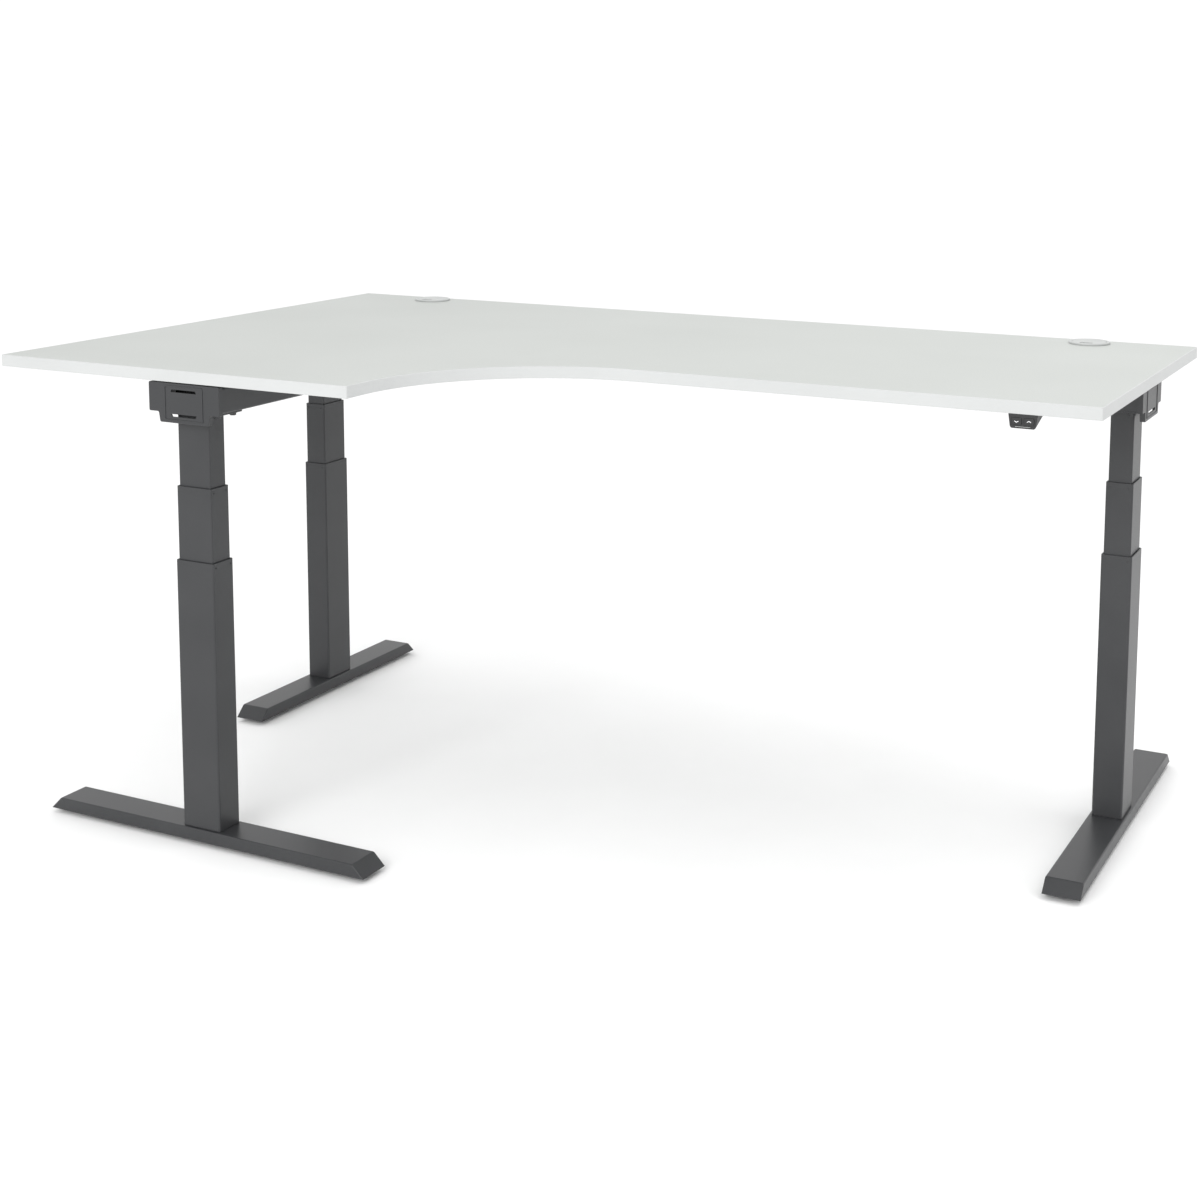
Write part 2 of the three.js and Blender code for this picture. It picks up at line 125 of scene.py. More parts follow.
# a profile of (radius, height) points, turned about the vertical through the origin
def addTurned(bm, profile, steps=64, closed=False):
    verts = [bm.verts.new((radius, 0, height)) for radius, height in profile]
    pairs = list(zip(verts, verts[1:])) + ([(verts[-1], verts[0])] if closed else [])
    edges = [bm.edges.new(pair) for pair in pairs]
    bmesh.ops.spin(
        bm, geom=verts + edges, cent=(0, 0, 0), axis=(0, 0, 1), dvec=(0, 0, 0),
        angle=2 * math.pi, steps=steps, use_merge=True, use_duplicate=False,
    )
    bmesh.ops.remove_doubles(bm, verts=bm.verts, dist=weld)


# adds a second mesh to the first
def absorb(bm, other):
    mesh = bpy.data.meshes.new("part")
    other.to_mesh(mesh)
    other.free()
    bm.from_mesh(mesh)
    bpy.data.meshes.remove(mesh)


# turns an open sheet so that the face that looks most along the given direction points that way
def orient(bm, direction):
    bmesh.ops.recalc_face_normals(bm, faces=bm.faces)
    bm.normal_update()
    best = max(bm.faces, key=lambda face: abs(face.normal.dot(direction)) * face.calc_area())
    if best.normal.dot(direction) < 0:
        bmesh.ops.reverse_faces(bm, faces=bm.faces)


# gives an open sheet its wall, on the side away from its faces
def thicken(bm, wall):
    bm.normal_update()
    bmesh.ops.solidify(bm, geom=bm.faces[:], thickness=wall)


bolt = {
    "taper": 0.93,  # lower end's width against the upper one
    "edgeRound": 0.0004,
    "washerThickness": 0.0012,
}


# a hexagon head around its centre, narrower below, and a washer above it if a radius is given
def addHexHead(bm, centre, width, height, washer=0.0):
    moved = Matrix.Translation(centre)
    if washer:
        bmesh.ops.create_cone(
            bm, cap_ends=True, segments=24, radius1=washer, radius2=washer,
            depth=bolt["washerThickness"], matrix=moved @ Matrix.Translation((0, 0, height / 2)),
        )
    head = bmesh.ops.create_cone(
        bm, cap_ends=True, segments=6, radius1=width / 2 * bolt["taper"], radius2=width / 2,
        depth=height, matrix=moved,
    )["verts"]
    roundEdges(bm, [e for e in linkedEdges(head) if not runsAlong(e, 2)], bolt["edgeRound"], 1)


def meshObject(bm, name):
    mesh = bpy.data.meshes.new(name)
    bm.to_mesh(mesh)
    bm.free()
    made = bpy.data.objects.new(name, mesh)
    bpy.context.scene.collection.objects.link(made)
    return made


# takes the cutter's volume out of the shape, and gives the result as a new bmesh
def cutAway(bm, cutter):
    bmesh.ops.recalc_face_normals(bm, faces=bm.faces)
    bmesh.ops.recalc_face_normals(cutter, faces=cutter.faces)
    shape, tool = meshObject(bm, "shape"), meshObject(cutter, "tool")
    boolean = shape.modifiers.new("cut", "BOOLEAN")
    boolean.operation, boolean.solver, boolean.object = "DIFFERENCE", "EXACT", tool
    result = bmesh.new()
    result.from_object(shape, bpy.context.evaluated_depsgraph_get())
    for spent in (shape, tool):
        mesh = spent.data
        bpy.data.objects.remove(spent)
        bpy.data.meshes.remove(mesh)
    bmesh.ops.remove_doubles(result, verts=result.verts, dist=cutWeld)
    return result


# places a shape, shades it and gives it its finish and body; stands names the CAD nodes it replaces
def finishPiece(bm, name, body, finish, stands=(), place=None):
    if place is not None:
        bmesh.ops.transform(bm, matrix=place, verts=bm.verts)
    bmesh.ops.remove_doubles(bm, verts=bm.verts, dist=weld)
    bmesh.ops.recalc_face_normals(bm, faces=bm.faces)
    for face in bm.faces:
        face.smooth = True
    for edge in bm.edges:
        edge.smooth = edge.is_manifold and edge.calc_face_angle(0) < sharpFrom
    piece = meshObject(bm, name)
    piece.data.materials.append(finish.material)
    evened = piece.modifiers.new("evenShading", "WEIGHTED_NORMAL")
    evened.keep_sharp = True
    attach(piece, body)
    if stands:
        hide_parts(*stands)
    return piece


# from a leg's own frame to its place in the desk
def legPlace(leg):
    low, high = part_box("outer_tube_" + leg)
    middle = (low + high) / 2
    turn = Matrix.Rotation(legTurns[leg] * math.pi / 2, 4, "Z")
    return Matrix.Translation((middle.x, middle.y, 0)) @ turn


# a node's output, which can be multiplied like a number
class Wire:
    def __init__(self, finish, socket):
        self.finish = finish
        self.socket = socket

    def __mul__(self, other):
        return self.finish.node("ShaderNodeMath", {"operation": "MULTIPLY"}, {0: self, 1: other})

    __rmul__ = __mul__


# a material around a Principled shader; its patterns read Object coordinates
class Finish:
    def __init__(self, name, **sockets):
        self.material = bpy.data.materials.new(name)
        self.material.use_nodes = True
        self.tree = self.material.node_tree
        self.shader = self.tree.nodes["Principled BSDF"]
        for socket, value in sockets.items():
            self.set(socket, value)
        self.place = self.node("ShaderNodeTexCoord", output="Object")

    def feed(self, socket, value):
        if isinstance(value, Wire):
            self.tree.links.new(value.socket, socket)
        else:
            socket.default_value = value

    # a socket of the shader by its name in camelCase, such as baseColor
    def set(self, name, value):
        spaced = "".join(" " + c if c.isupper() else c for c in name)
        title = " ".join(word.capitalize() for word in spaced.split())
        title = title.replace("Ior", "IOR")
        if title.endswith("Color") and not isinstance(value, Wire):
            value = (*value, 1)
        self.feed(self.shader.inputs[title], value)

    def node(self, kind, settings=None, sockets=None, output=0):
        made = self.tree.nodes.new(kind)
        for key, value in (settings or {}).items():
            setattr(made, key, value)
        for key, value in (sockets or {}).items():
            self.feed(made.inputs[key], value)
        return Wire(self, made.outputs[output])

    def noise(self, scale, detail=2.0, roughness=0.5, place=None):
        return self.node("ShaderNodeTexNoise", {}, {
            "Vector": place or self.place, "Scale": scale, "Detail": detail, "Roughness": roughness,
        })

    def stretched(self, scale):
        return self.node("ShaderNodeMapping", {}, {"Vector": self.place, "Scale": scale})

    def span(self, value, low, high, toLow=0.0, toHigh=1.0):
        return self.node("ShaderNodeMapRange", {}, {
            "Value": value, "From Min": low, "From Max": high, "To Min": toLow, "To Max": toHigh,
        })

    def blendColor(self, factor, first, second):
        return self.node("ShaderNodeMix", {"data_type": "RGBA"}, {
            "Factor": factor,
            6: first if isinstance(first, Wire) else (*first, 1),
            7: second if isinstance(second, Wire) else (*second, 1),
        }, output=2)

    def bump(self, height, strength, distance):
        return self.node("ShaderNodeBump", {}, {
            "Height": height, "Strength": strength, "Distance": distance,
        })


# melamine laminate: faint cloudy print, fine speckle and a shallow pearl texture
def makeLaminate():
    f = Finish("laminate", specularIorLevel=0.35)
    cloud = f.span(f.noise(2.2, 3.0), 0.3, 0.7)
    speckle = f.span(f.noise(900.0, 2.0, 0.6), 0.35, 0.65)
    base = f.blendColor(cloud, (0.425, 0.442, 0.424), (0.450, 0.467, 0.449))
    f.set("baseColor", f.blendColor(speckle * 0.12, base, (0.39, 0.402, 0.388)))
    pearl = f.noise(1300.0, 1.0)
    f.set("roughness", f.span(f.noise(350.0, 2.0), 0.3, 0.7, 0.40, 0.50))
    f.set("normal", f.bump(pearl, 0.10, 0.00008))
    return f


# thick plastic edge strip: smoother and a little lighter than the laminate
def makeEdging():
    f = Finish("edgeStrip", specularIorLevel=0.4)
    drift = f.span(f.noise(6.0, 2.0), 0.3, 0.7)
    f.set("baseColor", f.blendColor(drift, (0.485, 0.495, 0.492), (0.510, 0.520, 0.517)))
    f.set("roughness", f.span(f.noise(420.0, 2.0), 0.3, 0.7, 0.32, 0.42))
    f.set("normal", f.bump(f.noise(700.0, 2.0), 0.06, 0.0001))
    return f


# anthracite powder coating: fine orange peel with a slight sparkle in the roughness
def makePowderCoat():
    f = Finish("powderCoat", specularIorLevel=0.45)
    drift = f.span(f.noise(9.0, 2.0), 0.3, 0.7)
    fleck = f.span(f.noise(2600.0, 1.0), 0.45, 0.75)
    base = f.blendColor(drift, (0.025, 0.026, 0.028), (0.031, 0.032, 0.034))
    f.set("baseColor", f.blendColor(fleck * 0.35, base, (0.060, 0.062, 0.065)))
    f.set("roughness", f.span(f.noise(900.0, 2.0), 0.3, 0.7, 0.31, 0.41))
    peel = f.noise(1100.0, 2.0, 0.55)
    f.set("normal", f.bump(peel, 0.22, 0.00012))
    return f


# moulded plastic with a spark-eroded grain
def makePlastic(name, dark, light, rough, grain=1700.0, depth=0.2):
    f = Finish(name, specularIorLevel=0.5)
    drift = f.span(f.noise(14.0, 2.0), 0.3, 0.7)
    f.set("baseColor", f.blendColor(drift, dark, light))
    f.set("roughness", f.span(f.noise(grain * 0.5, 2.0), 0.3, 0.7, rough - 0.05, rough + 0.06))
    f.set("normal", f.bump(f.noise(grain, 2.0, 0.6), depth, 0.0001))
    return f


# bright zinc plating with drawn streaks
def makeZinc():
    f = Finish("zincSteel", metallic=1.0)
    streaks = f.noise(1.0, 3.0, 0.6, f.stretched((900.0, 900.0, 60.0)))
    cloud = f.span(f.noise(40.0, 3.0), 0.3, 0.7)
    f.set("baseColor", f.blendColor(cloud, (0.46, 0.47, 0.48), (0.60, 0.61, 0.62)))
    f.set("roughness", f.span(streaks, 0.3, 0.7, 0.24, 0.40))
    f.set("normal", f.bump(streaks, 0.15, 0.00005))
    return f


def makeRubber():
    f = Finish("padRubber", specularIorLevel=0.3)
    dust = f.span(f.noise(60.0, 4.0, 0.7), 0.45, 0.8)
    f.set("baseColor", f.blendColor(dust * 0.4, (0.012, 0.012, 0.013), (0.05, 0.05, 0.05)))
    f.set("roughness", f.span(f.noise(500.0, 2.0), 0.3, 0.7, 0.75, 0.9))
    f.set("normal", f.bump(f.noise(1400.0, 2.0), 0.3, 0.0001))
    return f


laminate = makeLaminate()
edgeStrip = makeEdging()
powderCoat = makePowderCoat()
darkPlastic = makePlastic("darkPlastic", (0.010, 0.0105, 0.011), (0.014, 0.0145, 0.015), 0.42)
glidePlastic = makePlastic("glidePlastic", (0.24, 0.245, 0.25), (0.29, 0.295, 0.30), 0.5)
linerPlastic = makePlastic("linerPlastic", (0.018, 0.018, 0.019), (0.026, 0.026, 0.028), 0.38)
greyPlastic = makePlastic("greyPlastic", (0.40, 0.412, 0.405), (0.44, 0.452, 0.445), 0.4, 1500.0, 0.12)
whitePrint = makePlastic("whitePrint", (0.88, 0.88, 0.89), (0.94, 0.94, 0.95), 0.5, 2400.0, 0.08)
zincSteel = makeZinc()
padRubber = makeRubber()
print("finishes made")


board = {
    "hole": 0.0365,  # grommet hole's radius
    "holeDepth": 0.03,  # its cutter's reach below the top face
    "holeSteps": 96,
    "wingWidth": 0.8,
    "sideDepth": 0.8,
    "sweepRadius": 0.35,
    "cornerRadius": 0.003,
    "cornerShrink": 0.9,  # share of an inset that the corner radius loses
    "cornerSteps": 5,
    "edging": 0.002,
    "seam": 0.00012,  # eased edge on each side of the glue line
    "rim": 0.0009,  # rounding of the strip's outer edges
    "sweepSteps": 72,
}


# the board's L, moved inwards, with its swept inner corner and small outer corners
def addWorktopShape(bm, inset):
    low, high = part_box("edge_band")
    west, east, south, north = low.x + inset, high.x - inset, low.y + inset, high.y - inset
    innerX = low.x + board["wingWidth"] - inset
    innerY = high.y - board["sideDepth"] + inset
    outline = [(west, south), (innerX, south), (innerX, innerY), (east, innerY), (east, north), (west, north)]
    addPrism(bm, outline, low.z, high.z)
    uprights = [edge for edge in bm.edges if runsAlong(edge, 2)]

    def isInner(edge):
        return (edge.verts[0].co.xy - Vector((innerX, innerY))).length < sameLevel

    corners = [edge for edge in uprights if not isInner(edge)]
    roundEdges(bm, corners, board["cornerRadius"] - inset * board["cornerShrink"], board["cornerSteps"])
    sweep = [edge for edge in bm.edges if runsAlong(edge, 2) and isInner(edge)]
    roundEdges(bm, sweep, board["sweepRadius"] + inset, board["sweepSteps"])
    return low, high


def makeWorktop():
    bm = bmesh.new()
    low, high = addWorktopShape(bm, board["edging"])
    holes = bmesh.new()
    for side in ("left", "right"):
        ringLow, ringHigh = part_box("grommet_ring_" + side)
        middle = (ringLow + ringHigh) / 2
        bmesh.ops.create_cone(
            holes, cap_ends=True, segments=board["holeSteps"], radius1=board["hole"],
            radius2=board["hole"], depth=2 * board["holeDepth"],
            matrix=Matrix.Translation((middle.x, middle.y, high.z)),
        )
    bm = cutAway(bm, holes)
    roundEdges(bm, rimEdges(bm, 2, high.z) + rimEdges(bm, 2, low.z), board["seam"], 1)
    finishPiece(bm, "worktopBoard", "desk_top", laminate, ["worktop_board"])

    bm = bmesh.new()
    low, high = addWorktopShape(bm, 0.0)
    outer = edgesAt(bm, 2, high.z) + edgesAt(bm, 2, low.z)
    roundEdges(bm, outer, board["rim"], 3)
    boreThrough(bm, 2, (low.z, high.z), board["edging"] - board["rim"])
    finishPiece(bm, "edgeBand", "desk_top", edgeStrip, ["edge_band"])


grommet = {
    "sleeve": 0.0362,
    "bore": 0.0342,
    "seat": 0.0322,
    "flange": 0.041,
    "flangeHeight": 0.004,
    "flangeRound": 0.0016,
    "flangeEase": 0.0004,
    "boreEase": 0.0005,
    "roundDegrees": (0, 22.5, 45, 67.5, 90),
    "lid": 0.0337,
    "lidRound": 0.0005,
    "lidGap": 0.0003,
    "dish": 0.0001,  # hollow of the lid's face
    "dishFrom": 0.3,  # where it is reached, against the lid's radius
    "slotWidth": 0.026,
    "slotDepth": 0.016,
    "slotRadius": 0.005,
    "slotReach": 0.02,  # how far the slot's cutter reaches past the lid
    "steps": 96,
}


def makeGrommet(side):
    g = grommet
    low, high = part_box("grommet_ring_" + side)
    lidLow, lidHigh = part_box("grommet_lid_" + side)
    centre = Matrix.Translation(((low.x + high.x) / 2, (low.y + high.y) / 2, 0))
    top, bottom = high.z, low.z
    base = top - g["flangeHeight"]
    ledge = lidLow.z - g["lidGap"]
    r, ease = g["flangeRound"], g["flangeEase"]
    brow = [
        (g["flange"] - r + r * math.sin(a), top - r + r * math.cos(a))
        for a in [math.radians(degrees) for degrees in g["roundDegrees"]]
    ]
    profile = [
        (g["seat"], bottom), (g["sleeve"], bottom), (g["sleeve"], base), (g["flange"] - ease, base),
        (g["flange"], base + ease), *reversed(brow),
        (g["bore"] + g["boreEase"], top), (g["bore"], top - g["boreEase"]),
        (g["bore"], ledge), (g["seat"], ledge),
    ]
    bm = bmesh.new()
    addTurned(bm, profile, g["steps"], closed=True)
    finishPiece(bm, "grommetRing-" + side, "desk_top", greyPlastic,
                ["grommet_ring_" + side], centre)

    bm = bmesh.new()
    e = g["lidRound"]
    addTurned(bm, [
        (0, lidLow.z), (g["lid"] - e, lidLow.z), (g["lid"], lidLow.z + e),
        (g["lid"], lidHigh.z - e), (g["lid"] - e * arcMiddle, lidHigh.z - e * arcMiddle),
        (g["lid"] - e, lidHigh.z), (g["lid"] * g["dishFrom"], lidHigh.z - g["dish"]),
        (0, lidHigh.z - g["dish"]),
    ], g["steps"])
    slot = bmesh.new()
    half = g["slotWidth"] / 2
    verts = addBlock(slot, (-half, -g["lid"] - g["slotReach"], lidLow.z - overCut),
                     (half, -g["lid"] + g["slotDepth"], lidHigh.z + overCut))
    roundEdges(slot, [edge for edge in linkedEdges(verts) if runsAlong(edge, 2)], g["slotRadius"], 8)
    bm = cutAway(bm, slot)
    finishPiece(bm, "grommetLid-" + side, "grommet_lid_" + side, greyPlastic,
                ["grommet_lid_" + side], centre)


makeWorktop()
for side in ("left", "right"):
    makeGrommet(side)
print("worktop made")


beam = {"wall": 0.0025, "lip": 0.015, "bend": 0.004, "bendSteps": 4}


# an inverted channel with two inward lips, folded from sheet along X or Y
def makeBeam(node, name, axis):
    low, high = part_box(node)
    across = 1 - axis
    lip = beam["lip"] + beam["wall"]
    path = [
        (low[across] + lip, low.z), (low[across], low.z), (low[across], high.z),
        (high[across], high.z), (high[across], low.z), (high[across] - lip, low.z),
    ]
    bm = bmesh.new()

    def point(side, height):
        place = [0.0, 0.0, height]
        place[axis], place[across] = low[axis], side
        return place

    verts = [bm.verts.new(point(side, height)) for side, height in path]
    edges = [bm.edges.new(pair) for pair in zip(verts, verts[1:])]
    made = bmesh.ops.extrude_edge_only(bm, edges=edges)["geom"]
    far = [item for item in made if isinstance(item, bmesh.types.BMVert)]
    run = [0.0, 0.0, 0.0]
    run[axis] = high[axis] - low[axis]
    bmesh.ops.translate(bm, vec=run, verts=far)
    bends = [edge for edge in bm.edges if runsAlong(edge, axis) and len(edge.link_faces) == 2]
    roundEdges(bm, bends, beam["bend"], beam["bendSteps"])
    orient(bm, Vector((0, 0, 1)))
    thicken(bm, beam["wall"])
    finishPiece(bm, name, "desk_top", powderCoat, [node])


makeBeam("main_beam", "mainBeam", 0)
makeBeam("side_beam", "sideBeam", 1)
print("beams made")


column = {
    "wall": 0.002,
    "rim": 0.0005,
    "corner": {"outer": 0.004, "mid": 0.0035, "inner": 0.003},
    "cornerSteps": 6,
    "dimple": 0.0016,
    "dimpleDepth": 0.001,
    "dimpleDrop": 0.0088,  # below the rim
    "dimpleInset": 0.0085,  # from the narrow face's edges
    "webHole": 0.007,
    "webHeight": 0.004,
    "webRound": 0.0025,
    "webBoreDepth": 0.03,
    "linerGap": 0.0003,
    "linerLeastCorner": 0.0012,
    "linerRim": 0.0002,
    "body": {"outer": "foot_stage_", "mid": "mid_stage_", "inner": "desk_top"},
}


# an upright rectangular tube around the origin, with the size and height of the front leg's node
def tubeShape(node, corner, wall, rim):
    low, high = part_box(node)
    half = (high - low) / 2
    bm = bmesh.new()
    verts = addBlock(bm, (-half.x, -half.y, low.z), (half.x, half.y, high.z))
    roundEdges(bm, [e for e in linkedEdges(verts) if runsAlong(e, 2)], corner, column["cornerSteps"])
    boreThrough(bm, 2, (low.z, high.z), wall)
    roundEdges(bm, rimEdges(bm, 2, high.z) + rimEdges(bm, 2, low.z), rim, 2)
    return bm, half, low.z, high.z


def makeTube(leg, stage):
    c = column
    bm, half, bottom, top = tubeShape(stage + "_tube_front", c["corner"][stage], c["wall"], c["rim"])
    if stage != "inner":
        dimples = bmesh.new()
        for end in (-1, 1):
            for side in (-1, 1):
                place = (end * half.x, side * (half.y - c["dimpleInset"]), top - c["dimpleDrop"])
                bmesh.ops.create_cone(
                    dimples, cap_ends=True, segments=20, radius1=c["dimple"], radius2=c["dimple"],
                    depth=2 * c["dimpleDepth"],
                    matrix=Matrix.Translation(place) @ Matrix.Rotation(math.pi / 2, 4, "Y"),
                )
        bm = cutAway(bm, dimples)
    if stage == "mid":
        web = bmesh.new()
        inset = c["wall"] / 2
        verts = addBlock(web, (inset - half.x, inset - half.y, bottom),
                         (half.x - inset, half.y - inset, bottom + c["webHeight"]))
        roundEdges(web, [e for e in linkedEdges(verts) if runsAlong(e, 2)], c["webRound"], 3)
        bore = bmesh.new()
        bmesh.ops.create_cone(
            bore, cap_ends=True, segments=32, radius1=c["webHole"], radius2=c["webHole"],
            depth=c["webBoreDepth"], matrix=Matrix.Translation((0, 0, bottom)),
        )
        absorb(bm, cutAway(web, bore))
    body = c["body"][stage] + (leg if stage != "inner" else "")
    finishPiece(bm, f"{stage}Tube-{leg}", body, powderCoat,
                [f"{stage}_tube_{leg}"], legPlace(leg))


def makeLiner(leg, stage, inside):
    c = column
    gap = c["linerGap"]
    node = stage + "_liner_front"
    low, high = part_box(node)
    innerLow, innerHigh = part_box(inside + "_tube_front")
    wall = ((high.x - low.x) - (innerHigh.x - innerLow.x)) / 2 - gap
    corner = c["corner"][stage] - c["wall"] - gap
    bm = tubeShape(node, max(corner, c["linerLeastCorner"]), wall, c["linerRim"])[0]
    finishPiece(bm, f"{stage}Liner-{leg}", c["body"][stage] + leg, linerPlastic,
                [f"{stage}_liner_{leg}"], legPlace(leg))


for leg in legTurns:
    for stage in ("outer", "mid", "inner"):
        makeTube(leg, stage)
    makeLiner(leg, "outer", "mid")
    makeLiner(leg, "mid", "inner")
print("columns made")


foot = {
    "endSlope": 0.024,
    "wall": 0.0025,
    "longRound": 0.003,
    "endRound": 0.0018,
    "bossLength": 0.026,
    "bossInset": 0.048,
    "endAngle": 0.6,  # radians; edges that bend by more get endRound
    "skirt": 0.005,  # edges wholly below this height stay sharp
    "studHole": 0.0045,
    "studDepth": 0.026,
    "boltWidth": 0.013,
    "boltHeight": 0.0055,
    "boltDrop": 0.003,  # sheet's inner side to the head's middle
    "boltPlaces": (0.030, 0.016),
}
standUp = Matrix.Rotation(math.pi / 2, 4, "X")  # a profile drawn in X and Y then stands in X and Z


def makeFoot(leg):
    f = foot
    low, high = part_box("foot_" + leg)
    size = high - low
    half, reach = min(size.x, size.y) / 2, max(size.x, size.y) / 2
    top = reach - f["endSlope"]
    bm = bmesh.new()
    verts = addPrism(bm, [(-reach, low.z), (reach, low.z), (top, high.z), (-top, high.z)], -half, half)
    bmesh.ops.transform(bm, matrix=standUp, verts=verts)
    crest = edgesAt(bm, 2, high.z)
    roundEdges(bm, [edge for edge in crest if runsAlong(edge, 0)], f["longRound"], 4)
    bm.normal_update()
    slopes = [e for e in bm.edges if e.is_manifold and e.calc_face_angle(0) > f["endAngle"]
              and max(v.co.z for v in e.verts) > low.z + f["skirt"]]
    roundEdges(bm, slopes, f["endRound"], 3)
    bmesh.ops.delete(bm, geom=facesAt(bm, 2, low.z), context="FACES_ONLY")
    orient(bm, Vector((0, 0, 1)))
    thicken(bm, f["wall"])
    for vert in bm.verts:
        vert.co.z = max(vert.co.z, low.z)
    for end in (-1, 1):
        middle = end * (reach - f["bossInset"])
        boss = bmesh.new()
        halfBoss = f["bossLength"] / 2
        verts = addBlock(boss, (middle - halfBoss, f["wall"] / 2 - half, low.z),
                         (middle + halfBoss, half - f["wall"] / 2, high.z - f["wall"] / 2))
        bore = bmesh.new()
        bmesh.ops.create_cone(
            bore, cap_ends=True, segments=28, radius1=f["studHole"], radius2=f["studHole"],
            depth=f["studDepth"], matrix=Matrix.Translation((middle, 0, low.z)),
        )
        absorb(bm, cutAway(boss, bore))
    x, y = f["boltPlaces"]
    for place in ((-x, -y), (x, -y), (-x, y), (x, y)):
        head = Vector((*place, high.z - f["wall"] - f["boltDrop"]))
        addHexHead(bm, head, f["boltWidth"], f["boltHeight"])
    finishPiece(bm, "foot-" + leg, "foot_stage_" + leg, powderCoat,
                ["foot_" + leg], legPlace(leg))


glide = {
    "radius": 0.015,
    "waist": 0.0118,
    "height": 0.006,
    "hollow": 0.0004,  # of the sole
    "hollowShare": (0.5, 0.55),  # where it ends, against the radius
    "soleEase": (0.0018, 0.0005, 0.0016),  # flat's inset, middle point, rise
    "shoulderEase": (0.0013, 0.0006),  # drop, middle point
    "stud": 0.004,
    "studEase": 0.001,
    "collar": (0.0022, 0.0016),  # width past the stud, below and above
    "collarHeight": (0.0035, 0.0037),
    "ribs": 40,
    "ribDepth": 0.0005,
    "stepsPerRib": 4,
}


def makeGlide(name):
    g = glide
    low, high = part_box("glide_" + name)
    centre = Matrix.Translation(((low.x + high.x) / 2, (low.y + high.y) / 2, 0))
    r = g["radius"] - g["ribDepth"]
    height, stud, hollow = g["height"], g["stud"], g["hollow"]
    inner, outer = g["hollowShare"]
    flat, ease, rise = g["soleEase"]
    shoulder, cut = g["shoulderEase"]
    steps = g["ribs"] * g["stepsPerRib"]
    bm = bmesh.new()
    addTurned(bm, [
        (0, hollow), (r * inner, hollow), (r * outer, 0), (r - flat, 0), (r - ease, ease), (r, rise),
        (r, height - shoulder), (r - cut, height - cut), (g["waist"], height),
        (stud + g["collar"][0], height), (stud + g["collar"][1], height + g["collarHeight"][0]),
        (stud, height + g["collarHeight"][1]), (stud, high.z - g["studEase"]),
        (stud - g["studEase"], high.z), (0, high.z),
    ], steps)
    grip = [
        vert for vert in bm.verts
        if abs(vert.co.xy.length - r) < sameLevel
        and round(math.atan2(vert.co.y, vert.co.x) / (2 * math.pi) * steps) % g["stepsPerRib"] < 2
    ]
    swell = g["radius"] / r
    bmesh.ops.scale(bm, vec=(swell, swell, 1), verts=grip)
    finishPiece(bm, "glide-" + name, "glide_" + name, glidePlastic,
                ["glide_" + name], centre)


for leg in legTurns:
    makeFoot(leg)
    for end in ("a", "b"):
        makeGlide(f"{leg}_{end}")
print("feet made")


cap = {
    "width": 0.161,
    "height": 0.054,
    "lowerWidth": 0.111,
    "lowerTopWidth": 0.117,
    "lowerHeight": 0.073,
    "wall": 0.0025,
    "cornerRound": 0.0028,
    "faceRound": 0.001,
    "panel": (0.088, 0.064),
    "panelRound": 0.003,
    "rib": 0.0022,
    "ribRim": 0.0004,
    "relief": 0.001,
    "slot": (0.058, 0.005, 0.002),  # length, height, taper
    "slotFromPanel": 0.0095,  # panel's outer edge to the slot's middle
}


def makeEndCap(leg):
    c = cap
    low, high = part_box("end_cap_front")
    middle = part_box("outer_tube_front")
    axisY = (middle[0].y + middle[1].y) / 2
    front, back = axisY - low.y, axisY - high.y
    face = front - c["relief"]
    top = high.z
    wide, upper, lower = c["width"] / 2, c["lowerTopWidth"] / 2, c["lowerWidth"] / 2
    step, bottom = top - c["height"], top - c["lowerHeight"]
    bm = bmesh.new()
    verts = addPrism(bm, [
        (wide, top), (-wide, top), (-wide, step), (-upper, step),
        (-lower, bottom), (lower, bottom), (upper, step), (wide, step),
    ], back, face)
    uprights = [edge for edge in linkedEdges(verts) if runsAlong(edge, 2)]
    roundEdges(bm, uprights, c["cornerRound"], 4)
    roundEdges(bm, edgesAt(bm, 2, face), c["faceRound"], 3)
    bmesh.ops.delete(bm, geom=facesAt(bm, 2, back), context="FACES_ONLY")
    orient(bm, Vector((0, 0, 1)))
    thicken(bm, c["wall"])
    middleZ = (top + bottom) / 2
    halfX, halfZ = c["panel"][0] / 2, c["panel"][1] / 2
    rib = bmesh.new()
    verts = addBlock(rib, (-halfX, middleZ - halfZ, face - c["wall"] / 2), (halfX, middleZ + halfZ, front))
    roundEdges(rib, [e for e in linkedEdges(verts) if runsAlong(e, 2)], c["panelRound"], 4)
    boreThrough(rib, 2, (face - c["wall"] / 2, front), c["rib"])
    roundEdges(rib, rimEdges(rib, 2, front), c["ribRim"], 2)
    slots = bmesh.new()
    halfSlot, highSlot, taper = c["slot"][0] / 2, c["slot"][1] / 2, c["slot"][2]
    for side in (-1, 1):
        z = middleZ + side * (halfZ - c["slotFromPanel"])
        addPrism(slots, [
            (halfSlot - taper, z + side * highSlot), (-halfSlot + taper, z + side * highSlot),
            (-halfSlot, z - side * highSlot), (halfSlot, z - side * highSlot),
        ], back - overCut, front + overCut)
    bm = cutAway(bm, slots)
    absorb(bm, rib)
    finishPiece(bm, "endCap-" + leg, "desk_top", powderCoat,
                ["end_cap_" + leg], legPlace(leg) @ standUp)


plate = {
    "round": 0.006,
    "rim": 0.0006,
    "bore": 0.009,
    "boreDepth": 0.02,
    "boltWidth": 0.013,
    "boltHeight": 0.0055,
    "boltInset": (0.014, 0.013),
    "washer": 0.0085,
    "washerGap": 0.0011,  # plate's underside to the head's seat
    "jointBoltsX": (-0.055, 0, 0.055),
    "jointBoltsY": (-0.035, 0.035),
    "jointBoltHeight": 0.0018,
    "jointBoltDrop": 0.0004,  # plate's underside to the head's middle
}


